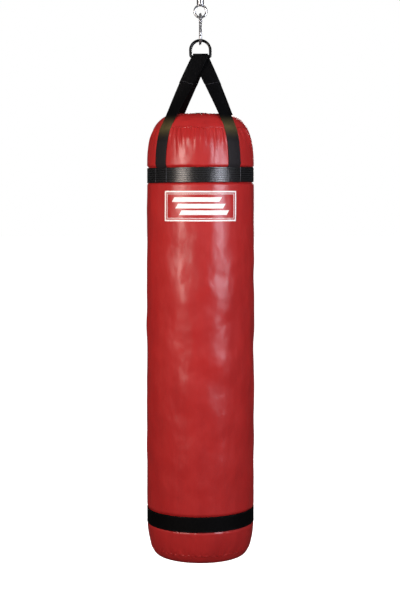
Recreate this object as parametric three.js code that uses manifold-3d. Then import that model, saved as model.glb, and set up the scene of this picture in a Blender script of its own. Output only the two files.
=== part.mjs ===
// Heavy punching bag on a webbing harness, a snap hook and an eye-and-eye swivel.
// Millimetres, +Z up. The origin is where the hook bears inside the swivel's upper eye.
import * as THREE from 'three';
import { mergeVertices } from 'three/addons/utils/BufferGeometryUtils.js';
import Module from 'manifold-3d';

const wasm = await Module();
wasm.setup();

// Driving dimensions
const GAP = 0.4;                 // between pieces that touch
const BODY_RADIUS = 177.8;       // 14 in across
const BAG_TOP = -440;
const BAG_BOTTOM = -1897.7;
const RIM_RADIUS = 104;          // where the top turns over into the shoulder
const MOUTH_RADIUS = 62;         // opening in the top collar
const BASE_FLAT_RADIUS = 138;
const SHOULDER_BOTTOM = -640;
const BASE_CORNER_HEIGHT = 143;
const HEM_SEAM_T = 0.47;         // where the top collar ends along the shoulder curve
const BASE_SEAM_T = 0.563;       // where the base panel starts along the base's corner
const VINYL = 2.2;
const CANVAS = 1.6;
const WEBBING_WIDTH = 50;
const WEBBING = 2;
const STRAP_CLEARANCE = 0.9;     // between a strap and the shell
const BAR_HALF_WIDTH = 26.2;     // a strap squeezed onto its bar
const DOUBLED_ROWS = 4;
const BAND_DEPTH = 6;            // how far the upper band presses the shell in
const LOWER_BAND_DEPTH = 3.8;
const UPPER_BAND_Z = -640;
const LOWER_BAND_Z = -1765;
const UPPER_BAND_INNER = 175.5;
const LOWER_BAND_INNER = 175.6;
const HARNESS_TURN = -4.2;       // degrees about Z
const LEG_ANGLE = 42.7;          // of each leg from the middle of its ring, degrees
const LOOP_LEAN = 23;            // of a strap's loop over its bar, degrees
const EYE_WIRE = 8;
const EYE_RADIUS = 20;
const SHANK_RADIUS = 4;
const BARREL_RADIUS = 12.5;
const BARREL_TOP = -42.8;
const BARREL_BOTTOM = -70.5;
const PLUG_RADIUS = 9.8;
const PLUG_FLANGE = 12;
const LOWER_EYE_Z = -93.75;
const LOWER_EYE_HALF = [19.6, 20.25];
const HOOK_WIRE = 10;
const HOOK_TOP = { radius: 16, z: -119.9 };
const HOOK_BOTTOM = { halfWidth: 25, halfHeight: 21, z: -180.8 };
const GATE_T = [0.15, 0.92];     // gate's ends along the hook's straight side
const GATE_GAP = 0.7;
const GATE_TAB = 2;              // half the width of the hook's tab inside the gate's fork
const GATE_FORK = 2.4;
const RIVET_RADIUS = 1.7;
const RIVET_HEAD = 2.8;
const RIVET_HOLE = 2.1;
const SPRING_BORE = 2.2;
const RING_WIRE = 8.8;
const RING_HALF_WIDTH = 32.9;
const RING_BAR_Z = -244.5;
const RING_BAR_Y = 11.5;
const RING_HEIGHT = 54.5;
const RING_LEAN = 7;             // degrees, tops together
const EYELETS = 12;
const EYELET_CIRCLE = 84;
const LACE_DIAMETER = 3.5;
const BALLS = 8;
const BALL_RADIUS = 1.6;
const BALL_CIRCLE = 7.2;
const BALL_Z = -51.05;
const BALL_POCKET = 1.95;
const RACE = [4.6, 9.7];         // inner and outer radius
const NUT_Z = -57.8;
const NUT_RADIUS = 8.1;
const NUT_HEIGHT = 5;

const RED = { color: 0xa8201c, roughness: 0.38, metalness: 0 };
const BLACK_WEBBING = { color: 0x17171a, roughness: 0.7, metalness: 0 };
const CHROME = { color: 0xd8dade, roughness: 0.12, metalness: 1 };
const BLACK_STEEL = { color: 0x101012, roughness: 0.3, metalness: 0.6 };
const CANVAS_CLOTH = { color: 0xcfc8b4, roughness: 0.9, metalness: 0 };
const RAG = { color: 0x8d8a86, roughness: 1, metalness: 0 };
const CORD = { color: 0x1a1a1c, roughness: 0.8, metalness: 0 };

const group = new THREE.Group();
const radians = THREE.MathUtils.degToRad;
const V3 = (x, y, z) => new THREE.Vector3(x, y, z);
const P2 = (x, y) => new THREE.Vector2(x, y);

// Welds a closed geometry, drops empty triangles and turns its faces outwards.
function weld(geometry) {
  for (const name of ['normal', 'uv']) geometry.deleteAttribute(name);
  const merged = mergeVertices(geometry, 1e-4);
  const p = merged.getAttribute('position');
  const index = merged.getIndex().array;
  const kept = [];
  const [a, b, c] = [V3(), V3(), V3()];
  let volume = 0;
  for (let i = 0; i < index.length; i += 3) {
    const [u, v, w] = [index[i], index[i + 1], index[i + 2]];
    if (u === v || v === w || w === u) continue;
    kept.push(u, v, w);
    a.fromBufferAttribute(p, u);
    b.fromBufferAttribute(p, v);
    c.fromBufferAttribute(p, w);
    volume += a.dot(b.cross(c));
  }
  merged.setIndex(volume < 0 ? kept.reverse() : kept);
  return merged;
}

function add(name, geometry, look) {
  const welded = weld(geometry);
  welded.computeVertexNormals();
  const mesh = new THREE.Mesh(welded, new THREE.MeshStandardMaterial(look));
  mesh.name = name;
  group.add(mesh);
  return mesh;
}

function solid(geometry) {
  const welded = weld(geometry);
  return new wasm.Manifold(new wasm.Mesh({
    numProp: 3,
    vertProperties: new Float32Array(welded.getAttribute('position').array),
    triVerts: new Uint32Array(welded.getIndex().array),
  }));
}

function geometryOf(manifold) {
  const mesh = manifold.getMesh();
  const geometry = new THREE.BufferGeometry();
  geometry.setAttribute('position', new THREE.BufferAttribute(mesh.vertProperties, 3));
  geometry.setIndex(new THREE.BufferAttribute(mesh.triVerts, 1));
  return geometry;
}

// Turned about Z from a closed profile of [radius, z] points.
function turned(profile, segments) {
  const closed = profile.map(([r, z]) => P2(r, z));
  const onAxis = profile[0][0] === 0 && profile.at(-1)[0] === 0;
  if (!onAxis) closed.push(closed[0].clone());
  return new THREE.LatheGeometry(closed, segments).rotateX(Math.PI / 2);
}

const washer = (inner, outer, low, high, segments) =>
  turned([[inner, low], [outer, low], [outer, high], [inner, high]], segments);

function rodAlongX(radius, low, high, y, z, segments = 20) {
  return new THREE.CylinderGeometry(radius, radius, high - low, segments)
    .rotateZ(Math.PI / 2).translate((low + high) / 2, y, z);
}

const roundWire = (diameter, sides) =>
  new THREE.Shape(Array.from({ length: sides }, (_, i) => {
    const angle = 2 * Math.PI * (i + 0.5) / sides;
    return P2(Math.cos(angle) * diameter / 2, Math.sin(angle) * diameter / 2);
  }));

const wireAlong = (curve, diameter, steps, sides) =>
  new THREE.ExtrudeGeometry(roundWire(diameter, sides), { steps, extrudePath: curve });

const closedWire = (curve, diameter, steps, sides) =>
  new THREE.TubeGeometry(curve, steps, diameter / 2, sides, true);

// A closed body through rings of points: each ring is an upper row, then the lower row reversed.
// Both faces split their quads along the same diagonal, so that layers of a twisted strap nest.
function loft(rings) {
  const count = rings[0].length;
  const half = count / 2;
  const index = [];
  for (let j = 0; j + 1 < rings.length; j++) {
    for (let i = 0; i < count; i++) {
      const [a, b] = [j * count + i, j * count + (i + 1) % count];
      if (i < half) index.push(a, b, b + count, a, b + count, a + count);
      else index.push(a, b, a + count, b, b + count, a + count);
    }
  }
  for (const [start, flip] of [[0, true], [(rings.length - 1) * count, false]]) {
    for (let i = 0; i + 1 < half; i++) {
      const [a, b] = [start + i, start + i + 1];
      const [c, d] = [start + count - 2 - i, start + count - 1 - i];
      index.push(...(flip ? [a, c, b, a, d, c] : [a, b, c, a, c, d]));
    }
  }
  const geometry = new THREE.BufferGeometry();
  const positions = rings.flat().flatMap((p) => [p.x, p.y, p.z]);
  geometry.setAttribute('position', new THREE.Float32BufferAttribute(positions, 3));
  geometry.setIndex(index);
  return geometry;
}

// ---- Swivel: the bag's pull goes barrel roof, upper race, balls, lower race, nut, shank, eye.
function makeSwivel() {
  const eyeCentre = -EYE_RADIUS + EYE_WIRE / 2;
  const ring = new THREE.TorusGeometry(EYE_RADIUS, EYE_WIRE / 2, 8, 28)
    .rotateX(Math.PI / 2).translate(0, 0, eyeCentre);
  const shank = turned([
    [0, -61.2], [SHANK_RADIUS, -61.2], [SHANK_RADIUS, -42], [8, -42], [8, -39.5], [5, -35], [0, -35]], 20);
  add('swivel_top_eye', geometryOf(solid(ring).add(solid(shank))), CHROME);

  const barrel = turned([
    [4.6, BARREL_TOP], [10.8, BARREL_TOP], [BARREL_RADIUS, BARREL_TOP - 1.8],
    [BARREL_RADIUS, BARREL_BOTTOM], [10.2, BARREL_BOTTOM], [10.2, BARREL_TOP - 4],
    [4.6, BARREL_TOP - 4]], 28);
  add('swivel_barrel', barrel, CHROME);
  add('bearing_upper_race', washer(...RACE, -49.1, -47.2, 24), CHROME);
  add('bearing_lower_race', washer(SHANK_RADIUS + GAP, 9.6, -54.9, -53, 24), CHROME);
  const upright = (radius, height, sides) => solid(new THREE.CylinderGeometry(radius, radius, height, sides)
    .rotateX(Math.PI / 2).translate(0, 0, NUT_Z));
  const blank = upright(NUT_RADIUS, NUT_HEIGHT, 6);
  const tapped = upright(SHANK_RADIUS + GAP, NUT_HEIGHT + 3, 20);
  add('swivel_nut', geometryOf(blank.subtract(tapped)), CHROME);

  let cage = solid(washer(4.9, 9.6, BALL_Z - 0.6, BALL_Z + 0.6, 24));
  for (let i = 0; i < BALLS; i++) {
    const angle = 2 * Math.PI * i / BALLS;
    const place = [BALL_CIRCLE * Math.cos(angle), BALL_CIRCLE * Math.sin(angle), BALL_Z];
    cage = cage.subtract(solid(new THREE.CylinderGeometry(BALL_POCKET, BALL_POCKET, 3, 12)
      .rotateX(Math.PI / 2).translate(...place)));
    add(`bearing_ball_${i + 1}`, new THREE.SphereGeometry(BALL_RADIUS, 8, 6).translate(...place), CHROME);
  }
  add('bearing_cage', geometryOf(cage), { color: 0xb08d4a, roughness: 0.4, metalness: 0.9 });

  const oval = new THREE.CatmullRomCurve3(Array.from({ length: 28 }, (_, i) => {
    const angle = 2 * Math.PI * i / 28;
    return V3(LOWER_EYE_HALF[0] * Math.sin(angle), 0, LOWER_EYE_Z + LOWER_EYE_HALF[1] * Math.cos(angle));
  }), true);
  const flange = [BARREL_BOTTOM - 1.3, BARREL_BOTTOM - GAP];
  const plug = turned([
    [0, -75], [5.5, -75], [10, flange[0]], [PLUG_FLANGE, flange[0]], [PLUG_FLANGE, flange[1]],
    [PLUG_RADIUS, flange[1]], [PLUG_RADIUS, -62.5], [0, -62.5]], 28);
  const lowerEye = solid(closedWire(oval, EYE_WIRE, 32, 8)).add(solid(plug));
  add('swivel_lower_eye', geometryOf(lowerEye), CHROME);
}

// ---- Snap hook, in the YZ plane with its gate towards the front (-Y).
function makeSnapHook() {
  const top = P2(-HOOK_TOP.radius, HOOK_TOP.z);
  const low = P2(-HOOK_BOTTOM.halfWidth, HOOK_BOTTOM.z);
  const side = (t) => top.clone().lerp(low, t);
  const pivot = side(GATE_T[0]);
  const nose = side(GATE_T[1]);
  const along = low.clone().sub(top).normalize();

  const points = [pivot, top];
  for (let i = 1; i <= 8; i++) {
    const angle = Math.PI - Math.PI * i / 8;
    points.push(P2(HOOK_TOP.radius * Math.cos(angle), HOOK_TOP.z + HOOK_TOP.radius * Math.sin(angle)));
  }
  for (let i = 0; i <= 10; i++) {
    const angle = -Math.PI * i / 10;
    points.push(P2(HOOK_BOTTOM.halfWidth * Math.cos(angle),
      HOOK_BOTTOM.z + HOOK_BOTTOM.halfHeight * Math.sin(angle)));
  }
  points.push(nose);
  const curve = new THREE.CatmullRomCurve3(points.map((p) => V3(0, p.x, p.y)), false, 'centripetal');
  const half = HOOK_WIRE / 2;
  const at = [pivot.x, pivot.y];
  let body = solid(wireAlong(curve, HOOK_WIRE, 44, 8));
  for (const [from, to] of [[GATE_TAB, 8], [-8, -GATE_TAB]]) {
    body = body.subtract(solid(rodAlongX(5.8, from, to, ...at)));
  }
  body = body.add(solid(rodAlongX(4.4, -GATE_TAB, GATE_TAB, ...at)));
  body = body.subtract(solid(rodAlongX(RIVET_HOLE, -4, 4, ...at)));
  add('carabiner_body', geometryOf(body), CHROME);

  const length = nose.distanceTo(pivot) - GATE_GAP;
  const tilt = Math.atan2(-along.x, -along.y);
  const place = (geometry, distance) => geometry.rotateX(Math.PI / 2 - tilt)
    .translate(0, pivot.x + along.x * distance, pivot.y + along.y * distance);
  let gate = solid(place(new THREE.CylinderGeometry(half, half, length, 16), length / 2));
  gate = gate.add(solid(rodAlongX(half, -half + 0.4, half - 0.4, ...at)));
  gate = gate.subtract(solid(rodAlongX(6.2, -GATE_FORK, GATE_FORK, ...at)));
  gate = gate.subtract(solid(rodAlongX(RIVET_HOLE, -8, 8, ...at)));
  gate = gate.subtract(solid(place(new THREE.CylinderGeometry(SPRING_BORE, SPRING_BORE, 24, 16), 9)));
  add('carabiner_gate', geometryOf(gate), CHROME);

  const rivet = turned([
    [0, -6.4], [RIVET_HEAD, -6.4], [RIVET_HEAD, -5.1], [RIVET_RADIUS, -5.1], [RIVET_RADIUS, 5.1],
    [RIVET_HEAD, 5.1], [RIVET_HEAD, 6.4], [0, 6.4]], 14);
  add('gate_rivet', rivet.rotateY(Math.PI / 2).translate(0, ...at), CHROME);

  const turns = 4;
  const coil = new THREE.CatmullRomCurve3(Array.from({ length: turns * 8 + 1 }, (_, i) => {
    const angle = 2 * Math.PI * i / 8;
    const distance = 7.5 + 12 * i / (turns * 8);
    const across = 1.3 * Math.sin(angle);
    return V3(1.3 * Math.cos(angle), pivot.x + along.x * distance - along.y * across,
      pivot.y + along.y * distance + along.x * across);
  }));
  add('gate_spring', wireAlong(coil, 0.8, turns * 9, 5), CHROME);
}

// ---- D-rings, standing on their bars and leaning together at the top.
function makeRing(name, turn) {
  const corner = 5;
  const top = RING_HEIGHT - RING_HALF_WIDTH;
  const outline = new THREE.Shape();
  outline.moveTo(-RING_HALF_WIDTH + corner, 0);
  outline.lineTo(RING_HALF_WIDTH - corner, 0);
  outline.absarc(RING_HALF_WIDTH - corner, corner, corner, -Math.PI / 2, 0, false);
  outline.absarc(0, top, RING_HALF_WIDTH, 0, Math.PI, false);
  outline.absarc(-RING_HALF_WIDTH + corner, corner, corner, Math.PI, 1.5 * Math.PI, false);
  const points = outline.getSpacedPoints(56).slice(0, -1).map((p) => V3(p.x, 0, p.y));
  const ring = closedWire(new THREE.CatmullRomCurve3(points, true, 'centripetal'), RING_WIRE, 52, 8);
  ring.rotateX(-radians(RING_LEAN)).translate(0, -RING_BAR_Y, RING_BAR_Z).rotateZ(turn);
  add(name, ring, BLACK_STEEL);
}

// ---- Outline of the bag as [radius, z] points, pressed in by its bands.
const shoulder = new THREE.CubicBezierCurve(
  P2(RIM_RADIUS, BAG_TOP), P2(148, BAG_TOP - 10), P2(181, BAG_TOP - 60), P2(BODY_RADIUS, SHOULDER_BOTTOM));

function pressed(radius, z) {
  const half = WEBBING_WIDTH / 2;
  const under = (bandZ) => THREE.MathUtils.clamp(1 - (Math.abs(z - bandZ) - half) / 14, 0, 1);
  return radius - BAND_DEPTH * under(UPPER_BAND_Z) - LOWER_BAND_DEPTH * under(LOWER_BAND_Z);
}

const edgesOf = (bandZ) => [39.2, 25.2, -25.2, -39.2].map((offset) => bandZ + offset);

function baseCorner(t) {
  const angle = t * Math.PI / 2;
  const power = 2 / 2.18;
  return P2(
    BASE_FLAT_RADIUS + (BODY_RADIUS - BASE_FLAT_RADIUS) * Math.cos(angle) ** power,
    BAG_BOTTOM + BASE_CORNER_HEIGHT * (1 - Math.sin(angle) ** power));
}

const topCurve = (from, to, count) => Array.from({ length: count + 1 }, (_, i) =>
  shoulder.getPoint(from + (to - from) * i / count));
const baseCurve = (from, to, count) => Array.from({ length: count + 1 }, (_, i) =>
  baseCorner(from + (to - from) * i / count));

// The whole outer line from the rim down to the base's flat, top first.
function bagLine(from, baseTo) {
  const line = topCurve(from, 0.93, 6).filter((p) => p.y > UPPER_BAND_Z + 45);
  for (const z of [...edgesOf(UPPER_BAND_Z), ...edgesOf(LOWER_BAND_Z)]) line.push(P2(BODY_RADIUS, z));
  line.push(...baseCurve(0.42, baseTo, 4));
  return line.map((p) => P2(pressed(p.x, p.y), p.y));
}

// The line of the stuffed core, clear of the grooves under the bands.
function coreLine(from) {
  const radius = BODY_RADIUS - BAND_DEPTH;
  const line = topCurve(from, 0.62, 4);
  line.push(P2(radius, UPPER_BAND_Z + 40), P2(radius, BAG_BOTTOM + 125), ...baseCurve(0.45, 0.93, 3));
  return line.map((p) => P2(Math.min(p.x, radius), p.y));
}

// The line moved inwards along its own normals.
function inset(line, distance) {
  return line.map((p, i) => {
    const before = line[Math.max(i - 1, 0)];
    const after = line[Math.min(i + 1, line.length - 1)];
    const along = after.clone().sub(before).normalize();
    return P2(p.x + along.y * distance, p.y - along.x * distance);
  });
}

const pairs = (line) => line.map((p) => [p.x, p.y]);
const sheetOf = (line, near, far) => [...pairs(inset(line, near)), ...pairs(inset(line, far)).reverse()];

function makeBag() {
  const hull = bagLine(HEM_SEAM_T, BASE_SEAM_T);
  add('shell', turned(sheetOf(hull, 0, VINYL), 32), RED);

  const collarLine = topCurve(HEM_SEAM_T - 0.004, 0, 5);
  collarLine.push(P2(MOUTH_RADIUS, BAG_TOP + 0.8));
  let collar = solid(turned(sheetOf(collarLine, 0, -VINYL), 32));
  const deck = BAG_TOP - VINYL / 2;
  for (let i = 0; i < EYELETS; i++) {
    const angle = 2 * Math.PI * (i + 0.5) / EYELETS;
    const place = [EYELET_CIRCLE * Math.cos(angle), EYELET_CIRCLE * Math.sin(angle), deck];
    collar = collar.subtract(solid(new THREE.CylinderGeometry(6.2, 6.2, 12, 8)
      .rotateX(Math.PI / 2).translate(...place)));
    const eyelet = turned([[4.8, -2.2], [7.8, -1.9], [5.7, -1.5], [5.7, 2.1], [7.8, 2.5], [4.8, 2.8]], 8);
    add(`eyelet_${i + 1}`, eyelet.translate(...place), CHROME);
  }
  add('top_collar', geometryOf(collar), RED);

  const flapZ = BAG_TOP - 14;
  add('top_flap', turned([[0, flapZ - VINYL], [98, flapZ - VINYL], [98, flapZ], [0, flapZ]], 24), RED);

  const linerLine = coreLine(0.5);
  const bottom = linerLine.at(-1);
  const skin = (near) => [...pairs(inset(linerLine, near)), [0, bottom.y + near * 0.9]];
  add('liner', turned([...skin(3.2), ...skin(3.2 + CANVAS).reverse()], 24), CANVAS_CLOTH);
  const fill = inset(coreLine(0.34), 5.6);
  add('filling', turned([[0, flapZ - 6], ...pairs(fill), [0, fill.at(-1).y]], 24), RAG);

  const baseLine = baseCurve(BASE_SEAM_T + 0.006, 1, 4);
  const basePanel = [...pairs(baseLine), [0, BAG_BOTTOM]];
  const baseTop = [...pairs(inset(baseLine, VINYL)), [0, BAG_BOTTOM + VINYL]];
  add('base_panel', turned([...basePanel, ...baseTop.reverse()], 32), RED);

  const half = WEBBING_WIDTH / 2;
  const band = (inner, z) => washer(inner, BODY_RADIUS, z - half, z + half, 40);
  add('upper_band', band(UPPER_BAND_INNER, UPPER_BAND_Z), BLACK_WEBBING);
  add('lower_band', band(LOWER_BAND_INNER, LOWER_BAND_Z), BLACK_WEBBING);
}

// Drawstring woven over and under the collar through its eyelets, tied at the back.
function makeDrawstring() {
  const steepness = 6;
  const rise = 6.4;
  const free = radians(4);
  const turns = EYELETS / 2;
  const count = EYELETS * 8;
  const start = Math.PI / 2 + free;
  const points = Array.from({ length: count + 1 }, (_, i) => {
    const angle = start + (2 * Math.PI - 2 * free) * i / count;
    const wave = Math.tanh(steepness * Math.cos(turns * (angle - Math.PI / 2))) / Math.tanh(steepness);
    const z = BAG_TOP - VINYL / 2 + 0.3 + rise * wave;
    return V3(EYELET_CIRCLE * Math.cos(angle), EYELET_CIRCLE * Math.sin(angle), z);
  });
  const curve = new THREE.CatmullRomCurve3(points, false, 'centripetal');
  add('drawstring', wireAlong(curve, LACE_DIAMETER, count, 5), CORD);
  const knot = new THREE.SphereGeometry(5, 10, 8).scale(1, 0.9, 0.8);
  add('drawstring_knot', knot.translate(0, EYELET_CIRCLE, BAG_TOP + rise - 0.4), CORD);
}

// ---- Harness: one strap for each ring, over its bar and down both legs to the upper band.
const widthAt = (angle) => V3(Math.cos(angle), Math.sin(angle), 0);
const radialAt = (angle) => V3(Math.sin(angle), -Math.cos(angle), 0);

// Rows of a leg, from the shoulder's foot under the band up to the bar.
function legRows(azimuth, loopStart, clearance) {
  const rows = [];
  const line = topCurve(0, 1, 60).map((p) => P2(pressed(p.x, p.y), p.y));
  const lift = clearance + WEBBING / 2;
  const path = inset(line, -lift);
  const reach = loopStart.dot(radialAt(azimuth));
  const slopes = path.map((p) => (p.x - reach) / (loopStart.z - p.y));
  const touch = slopes.indexOf(Math.max(...slopes));
  const foot = UPPER_BAND_Z - WEBBING_WIDTH / 2 + 1;
  const down = [P2(pressed(BODY_RADIUS, foot) + lift, foot), P2(pressed(BODY_RADIUS, foot) + lift, -614.8)];
  const bends = path.slice(touch).filter((p) => p.y > UPPER_BAND_Z + 39);
  const held = bends.filter((p, i) => i % 4 === 0 || i === bends.length - 1).reverse();
  for (const p of [...down, ...held]) {
    const centre = radialAt(azimuth).multiplyScalar(p.x).setZ(p.y);
    rows.push({ centre, turn: azimuth, wrap: 1, radius: p.x });
  }
  const shoulderTop = rows.at(-1).centre;
  const steps = 8;
  for (let i = 1; i < steps; i++) {
    const s = i / steps;
    const twist = azimuth * (1 - s * s * (3 - 2 * s));
    rows.push({ centre: shoulderTop.clone().lerp(loopStart, s), turn: twist, wrap: Math.max(0, 1 - 3 * s),
      radius: rows[0].radius });
  }
  return rows;
}

function strap(azimuths, loopRadius, clearance, doubling) {
  const bar = V3(0, -RING_BAR_Y, RING_BAR_Z);
  const lean = radians(LOOP_LEAN);
  const arc = Array.from({ length: 13 }, (_, i) => {
    const angle = Math.PI - lean - Math.PI * i / 12;
    return V3(0, Math.cos(angle) * loopRadius, Math.sin(angle) * loopRadius).add(bar);
  });
  const legs = [legRows(azimuths[0], arc[0], clearance), legRows(azimuths[1], arc.at(-1), clearance)];
  const rows = [...legs[0], ...arc.map((centre) => ({ centre, turn: 0, wrap: 0, radius: 1000 })),
    ...legs[1].reverse()];
  const stations = [-1, 0, 1];
  const rings = rows.map((row, i) => {
    const before = rows[Math.max(i - 1, 0)].centre;
    const after = rows[Math.min(i + 1, rows.length - 1)].centre;
    const along = after.clone().sub(before).normalize();
    const across = widthAt(row.turn);
    const skew = Math.sqrt(1 - across.dot(along) ** 2);
    const half = Math.min(WEBBING_WIDTH / 2 / skew, row.turn === 0 ? BAR_HALF_WIDTH : WEBBING_WIDTH);
    const normal = across.clone().cross(along).normalize();
    const inward = radialAt(row.turn).negate();
    const lift = doubling ? WEBBING + GAP : 0;
    const column = (v, side) => row.centre.clone().addScaledVector(across, v * half)
      .addScaledVector(inward, row.wrap * (v * half) ** 2 / (2 * row.radius))
      .addScaledVector(normal, lift + side * WEBBING / 2);
    return [...stations.map((v) => column(v, 1)), ...stations.map((v) => column(-v, -1))];
  });
  const spare = legs[0].length - DOUBLED_ROWS;
  return loft(doubling ? rings.slice(spare, rings.length - spare) : rings);
}

function makeHarness() {
  const turn = radians(HARNESS_TURN);
  const azimuths = [turn - radians(LEG_ANGLE), turn + radians(LEG_ANGLE)];
  const loopRadius = RING_WIRE / 2 + GAP + WEBBING / 2;
  for (const [side, about] of [['front', 0], ['rear', Math.PI]]) {
    makeRing(`${side}_d_ring`, about);
    add(`${side}_strap`, strap(azimuths, loopRadius, STRAP_CLEARANCE, false).rotateZ(about), BLACK_WEBBING);
    const ply = strap(azimuths, loopRadius, STRAP_CLEARANCE, true).rotateZ(about);
    add(`${side}_strap_doubling`, ply, BLACK_WEBBING);
  }
}

makeSwivel();
makeSnapHook();
makeHarness();
makeBag();
makeDrawstring();

export default group;
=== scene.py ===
"""Looks of a heavy punching bag: red vinyl, black webbing, chrome and black steel. Metres, +Z up."""
import math

import bmesh
import bpy
import numpy as np
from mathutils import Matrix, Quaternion, Vector
from mathutils.bvhtree import BVHTree


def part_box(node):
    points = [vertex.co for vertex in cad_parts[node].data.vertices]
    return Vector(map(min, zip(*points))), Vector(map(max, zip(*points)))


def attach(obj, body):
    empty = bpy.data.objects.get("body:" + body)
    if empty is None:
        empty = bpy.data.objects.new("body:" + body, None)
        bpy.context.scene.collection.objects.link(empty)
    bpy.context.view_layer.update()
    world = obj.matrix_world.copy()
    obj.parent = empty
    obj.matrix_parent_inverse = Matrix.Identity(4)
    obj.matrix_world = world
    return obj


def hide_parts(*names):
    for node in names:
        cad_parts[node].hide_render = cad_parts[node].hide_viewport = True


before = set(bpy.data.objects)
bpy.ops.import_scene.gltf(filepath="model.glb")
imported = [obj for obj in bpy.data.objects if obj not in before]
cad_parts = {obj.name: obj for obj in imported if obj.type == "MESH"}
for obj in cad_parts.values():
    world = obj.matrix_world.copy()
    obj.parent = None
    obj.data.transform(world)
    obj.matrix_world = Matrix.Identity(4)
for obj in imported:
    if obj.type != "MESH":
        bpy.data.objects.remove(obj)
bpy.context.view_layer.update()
MM = 0.001

# Places and sizes taken from the frame
UPPER_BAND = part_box("upper_band")
LOWER_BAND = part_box("lower_band")
BODY_R = UPPER_BAND[1].x
BAG_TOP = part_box("top_collar")[1].z - 2.9 * MM
BAG_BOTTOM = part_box("base_panel")[0].z
RING_BAR_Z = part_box("front_d_ring")[0].z + 4.4 * MM
RING_BAR_Y = 11.5 * MM
UPPER_Z = (UPPER_BAND[0].z + UPPER_BAND[1].z) / 2
LOWER_Z = (LOWER_BAND[0].z + LOWER_BAND[1].z) / 2
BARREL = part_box("swivel_barrel")
FLOOR_Z = BAG_BOTTOM - 0.32
BEND_Z = BAG_TOP - 45 * MM

# Driving sizes of the looks
RIM_R = 104 * MM
MOUTH_R = 62 * MM
BASE_FLAT_R = 138 * MM
BASE_CORNER = 143 * MM
BASE_POWER = 2 / 2.18
WEB_WIDTH = 50 * MM
WEB = 2 * MM
PRESS_UPPER = 6 * MM
PRESS_LOWER = 3.8 * MM
HEM_T = 0.47
BASE_T = 0.563
HARNESS_TURN = math.radians(-4.2)
LEG_ANGLE = math.radians(42.7)
STRAP_AZIMUTHS = [HARNESS_TURN + half + side * LEG_ANGLE for half in (0, math.pi) for side in (-1, 1)]
RING_WIRE_R = 4.4 * MM
AROUND = 640
ANGLES = np.linspace(0, 2 * math.pi, AROUND, endpoint=False)
SLACK = 0.8 * MM
VINYL = 1.4 * MM
BAND_TILT = 1.6 * MM
PLY_REACH = 124 * MM
PLY_STITCH = 118 * MM
EYE_WIRE = 4 * MM
HOOK_WIRE = 5 * MM
HOOK_TOP = (16 * MM, -119.9 * MM)
HOOK_LOW = (25 * MM, 21 * MM, -180.8 * MM)
CAMERA_AT = (-0.0016, -4.52, -0.69)
CAMERA_PITCH = math.radians(90 - 0.229)
CAMERA_LENS = 81
CAMERA_SHIFT = -0.175


# ---------------------------------------------------------------- materials
class Nodes:
    """A short way to write a material's node tree."""

    def __init__(self, name):
        self.material = bpy.data.materials.new(name)
        self.material.use_nodes = True
        self.tree = self.material.node_tree
        self.shader = self.tree.nodes["Principled BSDF"]

    def make(self, kind, inputs=None, **settings):
        node = self.tree.nodes.new(kind)
        for key, value in settings.items():
            setattr(node, key, value)
        for key, value in (inputs or {}).items():
            if isinstance(value, bpy.types.NodeSocket):
                self.tree.links.new(value, node.inputs[key])
            else:
                node.inputs[key].default_value = value
        return node

    def set(self, **values):
        for key, value in values.items():
            socket = self.shader.inputs[key.replace("_", " ")]
            if isinstance(value, bpy.types.NodeSocket):
                self.tree.links.new(value, socket)
            else:
                socket.default_value = value
        return self

    def place(self, kind="Object", stretch=(1, 1, 1)):
        source = self.make("ShaderNodeTexCoord").outputs[kind]
        return self.make("ShaderNodeMapping", {"Vector": source, "Scale": stretch}).outputs["Vector"]

    def noise(self, where, scale, detail=3, rough=0.5):
        inputs = {"Vector": where, "Scale": scale, "Detail": detail, "Roughness": rough}
        return self.make("ShaderNodeTexNoise", inputs).outputs["Fac"]

    def ramp(self, value, stops):
        node = self.make("ShaderNodeValToRGB", {"Fac": value})
        ramp = node.color_ramp
        while len(ramp.elements) < len(stops):
            ramp.elements.new(0.5)
        for element, (position, colour) in zip(ramp.elements, stops):
            element.position = position
            element.color = (*colour, 1) if len(colour) == 3 else colour
        return node.outputs["Color"]

    def between(self, value, low, high, start=0.0, end=1.0, **settings):
        inputs = {"Value": value, "From Min": start, "From Max": end, "To Min": low, "To Max": high}
        return self.make("ShaderNodeMapRange", inputs, **settings).outputs["Result"]

    def mix(self, share, a, b):
        return self.make("ShaderNodeMix", {"Factor": share, 6: a, 7: b}, data_type="RGBA").outputs[2]

    def maths(self, operation, a, b=0.0):
        return self.make("ShaderNodeMath", {0: a, 1: b}, operation=operation).outputs["Value"]

    def bump(self, height, strength, distance, under=None):
        inputs = {"Height": height, "Strength": strength, "Distance": distance}
        if under is not None:
            inputs["Normal"] = under
        return self.make("ShaderNodeBump", inputs).outputs["Normal"]


def linear(*srgb):
    return tuple((c / 255 / 12.92 if c <= 10 else ((c / 255 + 0.055) / 1.055) ** 2.4) for c in srgb)


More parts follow.
